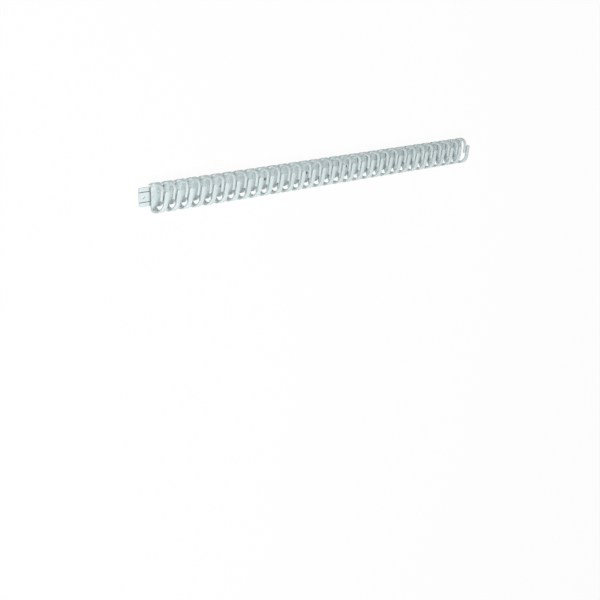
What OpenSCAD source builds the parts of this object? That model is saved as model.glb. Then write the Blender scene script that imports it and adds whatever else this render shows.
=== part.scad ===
// Flexible cable trunking: a chain of moulded links that swing on snap studs.
// X runs along the trunking, Y across it and Z away from the wall. The wall face is at Z = 0.

/* [Chain] */
// Length that one link adds to the trunking
pitch = 15.7; // [15.4:0.1:16.4]
// Number of links
link_count = 31; // [4:1:40]
// Number of the first link with a screw hole
first_fixing = 2; // [1:1:4]
// Number of links from one screw hole to the next
fixing_step = 4; // [2:1:8]
// Swing of one link to either side before its panel meets the next
swing = 8.5; // [4:0.5:9]

/* [Base] */
// Thickness of the tab
tab_t = 2; // [1.6:0.1:2.4]
// Width of the tab over its lips
tab_w = 20.6; // [20:0.2:22]
// Width of the tab's middle, between the grooves that free the lips
tab_mid_w = 10.2; // [9.8:0.1:11]
// Radius of the tab's corners
tab_r = 1.8; // [1:0.2:2.4]
// Width of each groove
groove_w = 0.8; // [0.6:0.1:1]
// Thickness left under the grooves
groove_floor = 0.8; // [0.6:0.1:1]
// Gap between the tab and the link above it
tab_gap = 0.5; // [0.4:0.05:0.7]
// Length of the raised panel's step down to the tab
step_l = 1.6; // [1.4:0.1:1.8]
// Room for the tab's end to swing before the step of the link before
tab_room = 1.1; // [1:0.05:1.3]
// Width of the step
step_w = 10; // [8:0.5:12]
// Depth of the recess in the step's face
recess = 0.7; // [0.4:0.1:0.9]
// Thickness of the panel's lip over the recess
lip_t = 0.9; // [0.8:0.1:1.4]
// Thickness of the raised panel
panel_t = 2.4; // [2:0.1:3]
// Width of the raised panel
panel_w = 23; // [22:0.2:23.6]
// Length of the panel at its full width
panel_wide_l = 11; // [9:0.1:11.4]
// Width of the panel at its far end
panel_end_w = 20.6; // [18:0.2:21]
// Gap between one panel and the next along the middle
panel_gap = 0.5; // [0.4:0.1:0.8]

/* [Pivot] */
// Distance of the pivot from the tab's end
pivot_inset = 4.9; // [4.7:0.1:5.2]
// Diameter of the snap stud
stud_d = 3; // [2.6:0.1:3.4]
// Clearance between stud and hole, on the radius
stud_clear = 0.05; // [0.03:0.01:0.1]
// How far the snap rim stands out from the stud
rim_out = 0.25; // [0.2:0.05:0.3]
// Height of the snap rim
rim_h = 0.5; // [0.4:0.05:0.6]
// Clearance around and under the snap rim
rim_clear = 0.15; // [0.1:0.05:0.2]

/* [Screw hole] */
// Diameter of the screw hole
screw_d = 3.2; // [3:0.1:3.4]
// Diameter of the countersink
sink_d = 4.8; // [4.4:0.1:5]
// Distance of the screw hole from the step
screw_x = 12.4; // [12.2:0.1:12.7]
// Clearance around the screw in the tab below
screw_clear = 0.3; // [0.3:0.05:0.4]

/* [Fingers] */
// Width of the trunking across the fingers
trunk_w = 32.8; // [31:0.2:40]
// Depth of the loop that the fingers form
loop_d = 19.5; // [17:0.5:22]
// Radius of the loop's lower corner at the wall
back_r = 6.5; // [5:0.5:7]
// Radius of the loop's lower corner in front
front_r = 9; // [7:0.5:9.5]
// Thickness of the fingers
finger_t = 2.4; // [1.8:0.1:2.6]
// Distance of both roots from the step
root_x = 0.3; // [0:0.1:0.6]
// Lean of the bar and the tongue, along the trunking for each unit across it
lean = 0.16; // [0.1:0.02:0.2]
// Slit between the upper finger's tongue and the bar beside it
slit_w = 2.2; // [1.8:0.1:2.6]

/* [Lower finger] */
// Width of its root at the panel
lower_root_w = 5.4; // [5:0.1:6.6]
// Distance of its left edge from the step, at the side
lower_side_x = -1.2; // [-2:0.1:0]
// Width at the side
lower_side_w = 8.2; // [7.4:0.1:8.6]
// Distance of the bar's left edge from the step, at the middle of the front
bar_x = 5.6; // [5.2:0.1:6]
// Width of the bar
bar_w = 5; // [4.6:0.1:5.2]
// Height of the bar's tip above the middle
bar_top = 7.7; // [7:0.1:8.2]

/* [Upper finger] */
// Width of its root at the panel
upper_root_w = 6.4; // [5.6:0.1:7]
// Distance of the hood's left corner from the step
hood_x = -4; // [-4.2:0.1:-3.4]
// Height of that corner above the middle
hood_y = 13.6; // [13.2:0.1:14]
// Distance of the crest's left edge from the step, at the side
crest_x = -2; // [-2.6:0.1:-1.4]
// Width of the crest
crest_w = 8; // [7:0.1:8.6]
// Height above the middle at which the hood has narrowed to the tongue
brow_y = 12.5; // [12:0.1:13.2]
// Width of the tongue
tongue_w = 2.8; // [2.4:0.1:3.2]
// Depth of the tongue's tip below the middle
tongue_low = 2.3; // [1.6:0.1:3.2]

/* [Hidden] */
$fn = 64;
// Cuts run this far past the faces that they open
past = 1;
// Shapes of one moulding run this far into each other
overlap = 0.4;
plastic = [0.8, 0.83, 0.83];
side_y = trunk_w / 2;
loop_r = loop_d / 2;
upper_y = side_y - loop_r;
back_y = back_r - side_y;
front_y = front_r - side_y;
panel_z = tab_t + tab_gap;
face_z = panel_z + panel_t;
loop_z = panel_z + loop_r;
front_z = panel_z + loop_d;
back_corner_z = panel_z + back_r;
front_corner_z = front_z - front_r;
tab_l = pitch - step_l - tab_room;
pivot_x = pivot_inset - tab_l;
stud_x = pitch + pivot_x;
hole_d = stud_d + 2 * stud_clear;
rim_d = stud_d + 2 * rim_out;
pocket_d = rim_d + 2 * rim_clear;
pocket_h = rim_h + 2 * rim_clear;
slot_w = screw_d + 2 * screw_clear;
slot_reach = (screw_x - stud_x) * tan(swing);
total_l = tab_l + link_count * pitch - panel_gap;
first_x = tab_l - total_l / 2;

function is_fixing(i) = i >= first_fixing && (i - first_fixing) % fixing_step == 0;
function link_name(i) = str(is_fixing(i) ? "fixing_link_" : "link_", i < 10 ? "0" : "", i);

// Outline across the trunking, half round above and squarer below, made larger by grow
module loop_outline(grow) {
    translate([upper_y, loop_z])
        circle(r = loop_r + grow);
    translate([back_y, back_corner_z])
        circle(r = back_r + grow);
    translate([front_y, front_corner_z])
        circle(r = front_r + grow);
    polygon([
        [back_y, panel_z - grow], [upper_y, panel_z - grow],
        [upper_y, front_z + grow], [front_y, front_z + grow],
        [-side_y - grow, front_corner_z], [-side_y - grow, back_corner_z]
    ]);
}

// A shell between two such outlines, longer than one link and its leaning fingers
module loop_shell(inner, outer) {
    translate([-pitch, 0, 0])
        rotate([90, 0, 90])
            linear_extrude(3 * pitch)
                difference() {
                    loop_outline(outer);
                    loop_outline(inner);
                }
}

// Plan of the tab, with round corners at its free end
module tab_plan() {
    corner_x = tab_r - tab_l;
    corner_y = tab_w / 2 - tab_r;
    for (side = [-1, 1])
        translate([corner_x, side * corner_y])
            circle(r = tab_r);
    translate([-tab_l, -corner_y])
        square([tab_l + overlap, 2 * corner_y]);
    translate([corner_x, -tab_w / 2])
        square([overlap - corner_x, tab_w]);
}

// The tab, which carries the link before and follows the curve of its panel
module tab() {
    intersection() {
        loop_shell(tab_gap, tab_gap + tab_t);
        translate([0, 0, -past])
            linear_extrude(loop_r)
                tab_plan();
    }
}

// The grooves along the tab's middle
module tab_grooves() {
    for (side = [-1, 1])
        translate([-tab_l - past, side * (tab_mid_w + groove_w) / 2 - groove_w / 2, groove_floor])
            cube([tab_l + past, groove_w, tab_t]);
}

// The step between the tab and the raised panel
module step() {
    translate([0, -step_w / 2, 0])
        cube([step_l, step_w, face_z]);
}

// The recess in the step's face, under the panel's lip
module step_recess() {
    translate([-past, -step_w / 2, tab_t])
        cube([past + recess, step_w, face_z - lip_t - tab_t]);
}

// The raised panel, curved like the loop, with a shallow point at its far end that stops the swing
module panel() {
    tip_x = pitch - panel_gap;
    corner_x = tip_x - panel_end_w / 2 * tan(swing);
    intersection() {
        loop_shell(-panel_t, 0);
        linear_extrude(loop_z)
            polygon([
                [0, -panel_w / 2], [panel_wide_l, -panel_w / 2], [corner_x, -panel_end_w / 2],
                [tip_x, 0],
                [corner_x, panel_end_w / 2], [panel_wide_l, panel_w / 2], [0, panel_w / 2]
            ]);
    }
}

// The snap stud under the panel, which the next link's tab turns on
module stud() {
    translate([stud_x, 0, rim_clear]) {
        cylinder(d = stud_d, h = panel_z + panel_t / 2 - rim_clear);
        cylinder(d = rim_d, h = rim_h);
    }
}

// The hole in the tab for the stud, with a pocket below for its rim
module pivot_hole() {
    translate([pivot_x, 0, -past]) {
        cylinder(d = hole_d, h = tab_t + 2 * past);
        cylinder(d = pocket_d, h = past + pocket_h);
    }
}

// The countersunk screw hole through the panel
module screw_hole() {
    sink_h = (sink_d - screw_d) / 2;
    translate([screw_x, 0, 0]) {
        cylinder(d = screw_d, h = face_z + past);
        translate([0, 0, face_z - sink_h])
            cylinder(d1 = screw_d, d2 = sink_d, h = sink_h);
    }
}

// The slot across a tab that lets the screw of the link before through at every swing
module screw_slot() {
    translate([screw_x - pitch, 0, -past])
        linear_extrude(tab_t + 2 * past) {
            for (side = [-1, 1])
                translate([0, side * slot_reach])
                    circle(d = slot_w);
            square([slot_w, 2 * slot_reach], center = true);
        }
}

// A finger: the loop's shell cut by one plan behind its widest line and another in front
module finger() {
    intersection() {
        loop_shell(-finger_t, 0);
        union() {
            linear_extrude(loop_z)
                children(0);
            translate([0, 0, loop_z])
                linear_extrude(loop_r + past)
                    children(1);
        }
    }
}

// Left edge of the lower finger's bar at a height above the middle
function bar_edge(y) = bar_x + lean * y;
// Right edge of the upper finger's tongue
function tongue_edge(y) = bar_edge(y) - slit_w;

// The lower finger: a root that sweeps along the underside, and a bar with a round tip in front
module lower_finger() {
    root_y = finger_t - panel_w / 2;
    tip_r = bar_w / 2;
    tip_y = bar_top - tip_r;
    side_right = lower_side_x + lower_side_w;
    finger() {
        polygon([
            [root_x, root_y], [lower_side_x, -side_y], [lower_side_x, -side_y - past],
            [side_right, -side_y - past], [side_right, -side_y], [root_x + lower_root_w, root_y]
        ]);
        union() {
            polygon([
                [lower_side_x, -side_y - past], [lower_side_x, -side_y],
                [bar_edge(front_y), front_y], [bar_edge(tip_y), tip_y],
                [bar_edge(tip_y) + bar_w, tip_y], [bar_edge(front_y) + bar_w, front_y],
                [side_right, -side_y], [side_right, -side_y - past]
            ]);
            translate([bar_edge(tip_y) + tip_r, tip_y])
                circle(r = tip_r);
        }
    }
}

// The upper finger: a hood that leans back over the link before and narrows to a tongue in front
module upper_finger() {
    root_y = panel_w / 2 - finger_t;
    tip_r = tongue_w / 2;
    tip_y = tip_r - tongue_low;
    crest_right = crest_x + crest_w;
    finger() {
        polygon([
            [root_x, root_y], [root_x, panel_w / 2], [hood_x, hood_y],
            [crest_x, side_y], [crest_x, side_y + past],
            [crest_right, side_y + past], [crest_right, side_y], [root_x + upper_root_w, root_y]
        ]);
        union() {
            polygon([
                [crest_x, side_y + past], [crest_x, side_y],
                [tongue_edge(brow_y) - tongue_w, brow_y], [tongue_edge(tip_y) - tongue_w, tip_y],
                [tongue_edge(tip_y), tip_y], [tongue_edge(brow_y), brow_y],
                [crest_right, side_y], [crest_right, side_y + past]
            ]);
            translate([tongue_edge(tip_y) - tip_r, tip_y])
                circle(r = tip_r);
        }
    }
}

// One whole link, a single moulding
module link(i) {
    color(plastic)
        translate([first_x + (i - 1) * pitch, 0, 0])
            difference() {
                union() {
                    tab();
                    step();
                    panel();
                    if (i < link_count) stud();
                    lower_finger();
                    upper_finger();
                }
                pivot_hole();
                tab_grooves();
                step_recess();
                if (is_fixing(i)) screw_hole();
                if (i > 1 && is_fixing(i - 1)) screw_slot();
            }
}

for (i = [1 : link_count])
    link(i);
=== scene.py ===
import math

import bmesh
import bpy
from mathutils import Matrix, Vector


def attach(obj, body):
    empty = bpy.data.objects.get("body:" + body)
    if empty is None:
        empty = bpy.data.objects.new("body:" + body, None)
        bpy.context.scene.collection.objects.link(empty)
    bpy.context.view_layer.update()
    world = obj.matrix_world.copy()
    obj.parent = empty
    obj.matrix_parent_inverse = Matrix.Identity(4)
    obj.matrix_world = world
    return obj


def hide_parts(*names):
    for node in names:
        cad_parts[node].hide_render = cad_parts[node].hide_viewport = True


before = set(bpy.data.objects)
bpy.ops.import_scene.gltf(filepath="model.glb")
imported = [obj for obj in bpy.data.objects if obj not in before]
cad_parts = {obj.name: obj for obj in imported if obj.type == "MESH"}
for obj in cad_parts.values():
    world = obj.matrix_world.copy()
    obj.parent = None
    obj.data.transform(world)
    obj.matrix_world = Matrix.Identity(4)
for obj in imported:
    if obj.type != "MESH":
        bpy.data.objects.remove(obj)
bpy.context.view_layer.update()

# Moulded plastic
# Pale grey polypropylene, satin from the mould, with slow changes of tone where the melt flowed,
# a fine grain, a slightly different tone on each link, and painted shade in the tightest creases.
plastic = bpy.data.materials.new("moulded_polypropylene")
plastic.use_nodes = True
nodes = plastic.node_tree.nodes
links = plastic.node_tree.links
shader = nodes["Principled BSDF"]
shader.inputs["IOR"].default_value = 1.49
shader.inputs["Subsurface Weight"].default_value = 0.12
shader.inputs["Subsurface Radius"].default_value = (1.0, 1.0, 1.0)
shader.inputs["Subsurface Scale"].default_value = 0.0015
place = nodes.new("ShaderNodeTexCoord")

flow = nodes.new("ShaderNodeTexNoise")
flow.inputs["Scale"].default_value = 70.0
flow.inputs["Detail"].default_value = 3.0
links.new(place.outputs["Object"], flow.inputs["Vector"])
tones = nodes.new("ShaderNodeValToRGB")
tones.color_ramp.elements[0].position = 0.3
tones.color_ramp.elements[0].color = (0.620, 0.700, 0.705, 1.0)
tones.color_ramp.elements[1].position = 0.7
tones.color_ramp.elements[1].color = (0.660, 0.735, 0.740, 1.0)
links.new(flow.outputs["Fac"], tones.inputs["Fac"])

each_link = nodes.new("ShaderNodeObjectInfo")
shade = nodes.new("ShaderNodeMapRange")
shade.inputs["To Min"].default_value = 0.97
shade.inputs["To Max"].default_value = 1.03
links.new(each_link.outputs["Random"], shade.inputs["Value"])
# Painted shade: an ambient occlusion node darkens the base colour in tight creases, slits and
# recesses.
crease = nodes.new("ShaderNodeAmbientOcclusion")
crease.only_local = True
crease.inputs["Distance"].default_value = 0.0045
painted_crease_shade = nodes.new("ShaderNodeMapRange")
painted_crease_shade.inputs["From Min"].default_value = 0.4
painted_crease_shade.inputs["From Max"].default_value = 0.8
painted_crease_shade.inputs["To Min"].default_value = 0.35
links.new(crease.outputs["AO"], painted_crease_shade.inputs["Value"])
darker = nodes.new("ShaderNodeMath")
darker.operation = "MULTIPLY"
links.new(shade.outputs["Result"], darker.inputs[0])
links.new(painted_crease_shade.outputs["Result"], darker.inputs[1])
tint = nodes.new("ShaderNodeHueSaturation")
links.new(darker.outputs["Value"], tint.inputs["Value"])
links.new(tones.outputs["Color"], tint.inputs["Color"])
links.new(tint.outputs["Color"], shader.inputs["Base Color"])

grain = nodes.new("ShaderNodeTexNoise")
grain.inputs["Scale"].default_value = 1400.0
grain.inputs["Detail"].default_value = 2.0
links.new(place.outputs["Object"], grain.inputs["Vector"])
gloss = nodes.new("ShaderNodeMapRange")
gloss.inputs["To Min"].default_value = 0.42
gloss.inputs["To Max"].default_value = 0.56
links.new(grain.outputs["Fac"], gloss.inputs["Value"])
links.new(gloss.outputs["Result"], shader.inputs["Roughness"])
bump = nodes.new("ShaderNodeBump")
bump.inputs["Strength"].default_value = 0.06
bump.inputs["Distance"].default_value = 0.0002
links.new(grain.outputs["Fac"], bump.inputs["Height"])
links.new(bump.outputs["Normal"], shader.inputs["Normal"])

# Links
# Each link is one moulding: tab, step, raised panel and two fingers, snapped to the next by its stud.
# The CAD solid is copied, and its sharp edges are rounded as a mould leaves them. On the fingers
# that is along their length only, and not on the small ledge halfway up their side walls.
finger_round = 0.0005
base_round = 0.0001
finger_floor = 0.0062  # an edge wholly above this height is a finger's
ledge_z = 0.01225
ledge_room = 1e-5
level = 0.02  # a face whose normal leans less than this along x runs along the finger
merge_dist = 6e-5
flat = math.radians(0.4)
sharp = math.radians(35)
for name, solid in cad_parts.items():
    shape = bmesh.new()
    shape.from_mesh(solid.data)
    bmesh.ops.remove_doubles(shape, verts=shape.verts, dist=merge_dist)
    bmesh.ops.dissolve_limit(shape, angle_limit=flat, verts=shape.verts, edges=shape.edges)
    top = max(v.co.z for v in shape.verts)
    for high, size in ((True, finger_round), (False, base_round)):
        edges = []
        for edge in shape.edges:
            if len(edge.link_faces) != 2 or edge.calc_face_angle() < sharp:
                continue
            above = min(v.co.z for v in edge.verts) > finger_floor
            across = min(abs(face.normal.x) for face in edge.link_faces) > level
            on_ledge = all(abs(v.co.z - ledge_z) < ledge_room for v in edge.verts)
            if above == high and not (high and across) and not on_ledge:
                edges.append(edge)
        bmesh.ops.bevel(
            shape,
            geom=edges,
            offset=size,
            segments=3,
            profile=0.5,
            affect="EDGES",
            clamp_overlap=False,
        )
    for vert in shape.verts:
        vert.co.z = min(vert.co.z, top)
    mesh = bpy.data.meshes.new("moulded_" + name)
    shape.to_mesh(mesh)
    shape.free()
    mesh.materials.append(plastic)
    mesh.polygons.foreach_set("use_smooth", [True] * len(mesh.polygons))
    mesh.set_sharp_from_angle(angle=sharp)
    piece = bpy.data.objects.new("moulded_" + name, mesh)
    bpy.context.scene.collection.objects.link(piece)
    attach(piece, name)
    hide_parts(name)

# Floor
# Plain white. Seen directly it is nearly even white, and it keeps a faint shadow of the trunking.
floor_half = 40.0
floor_z = -0.0003
white_share = 0.95
floor_mesh = bpy.data.meshes.new("floor")
signs = [(-1, -1), (1, -1), (1, 1), (-1, 1)]
corners = [(floor_half * x, floor_half * y, floor_z) for x, y in signs]
floor_mesh.from_pydata(corners, [], [(0, 1, 2, 3)])
floor = bpy.data.objects.new("floor", floor_mesh)
bpy.context.scene.collection.objects.link(floor)


def shows_background(nodes, links):
    # 1 for rays that show the background: straight from the camera, mirrored or passed through.
    path = nodes.new("ShaderNodeLightPath")
    seen = path.outputs["Is Camera Ray"]
    for ray in ("Is Glossy Ray", "Is Transmission Ray"):
        either = nodes.new("ShaderNodeMath")
        either.operation = "MAXIMUM"
        links.new(seen, either.inputs[0])
        links.new(path.outputs[ray], either.inputs[1])
        seen = either.outputs["Value"]
    return seen


white = bpy.data.materials.new("white_floor")
white.use_nodes = True
nodes = white.node_tree.nodes
links = white.node_tree.links
paint = nodes["Principled BSDF"]
paint.inputs["Base Color"].default_value = (0.8, 0.8, 0.8, 1.0)
paint.inputs["Roughness"].default_value = 0.9
paint.inputs["Specular IOR Level"].default_value = 0.1
bright = nodes.new("ShaderNodeEmission")
bright.inputs["Strength"].default_value = 1.0
share = nodes.new("ShaderNodeMath")
share.operation = "MULTIPLY"
share.inputs[1].default_value = white_share
links.new(shows_background(nodes, links), share.inputs[0])
blend = nodes.new("ShaderNodeMixShader")
links.new(share.outputs["Value"], blend.inputs["Fac"])
links.new(paint.outputs["BSDF"], blend.inputs[1])
links.new(bright.outputs["Emission"], blend.inputs[2])
links.new(blend.outputs["Shader"], nodes["Material Output"].inputs["Surface"])
floor_mesh.materials.append(white)

# Light
# A broad lamp on the bare tab's side, a weaker one higher up, and a pale room, so shadows stay
# faint. For each lamp: its place, its size and its power.
lamps = {
    "left_lamp": ((-0.72, -0.42, 1.1), 0.4, 10.0),
    "upper_lamp": ((-0.4, 0.1, 1.5), 0.7, 5.7),
}
for name, (spot, size, power) in lamps.items():
    lamp = bpy.data.lights.new(name, "AREA")
    lamp.size = size
    lamp.energy = power
    lamp_object = bpy.data.objects.new(name, lamp)
    lamp_object.location = spot
    lamp_object.rotation_euler = (-Vector(spot)).to_track_quat("-Z", "Y").to_euler()
    bpy.context.scene.collection.objects.link(lamp_object)
world = bpy.data.worlds.new("room")
world.use_nodes = True
bpy.context.scene.world = world
nodes = world.node_tree.nodes
links = world.node_tree.links
room = nodes["Background"]
room.inputs["Color"].default_value = (1.0, 1.0, 1.0, 1.0)
room.inputs["Strength"].default_value = 0.38
backdrop = nodes.new("ShaderNodeBackground")
backdrop.inputs["Color"].default_value = (1.0, 1.0, 1.0, 1.0)
choose = nodes.new("ShaderNodeMixShader")
links.new(shows_background(nodes, links), choose.inputs["Fac"])
links.new(room.outputs["Background"], choose.inputs[1])
links.new(backdrop.outputs["Background"], choose.inputs[2])
links.new(choose.outputs["Shader"], nodes["World Output"].inputs["Surface"])

# Camera
# It looks down on the bare tab from the left, with the trunking running away to the right.
eye = Vector((-0.85617, 0.25902, 0.98125))
right = Vector((0.76544, 0.01289, 0.64337))
up = Vector((0.18916, 0.95112, -0.24410))
back = Vector((-0.61507, 0.30855, 0.72559))
camera = bpy.data.cameras.new("camera")
camera.sensor_width = 36.0
camera.lens = 66.32
camera_object = bpy.data.objects.new("camera", camera)
turn = Matrix((right, up, back)).transposed().to_4x4()
camera_object.matrix_world = Matrix.Translation(eye) @ turn
bpy.context.scene.collection.objects.link(camera_object)
bpy.context.scene.camera = camera_object
bpy.context.scene.view_settings.view_transform = "Standard"
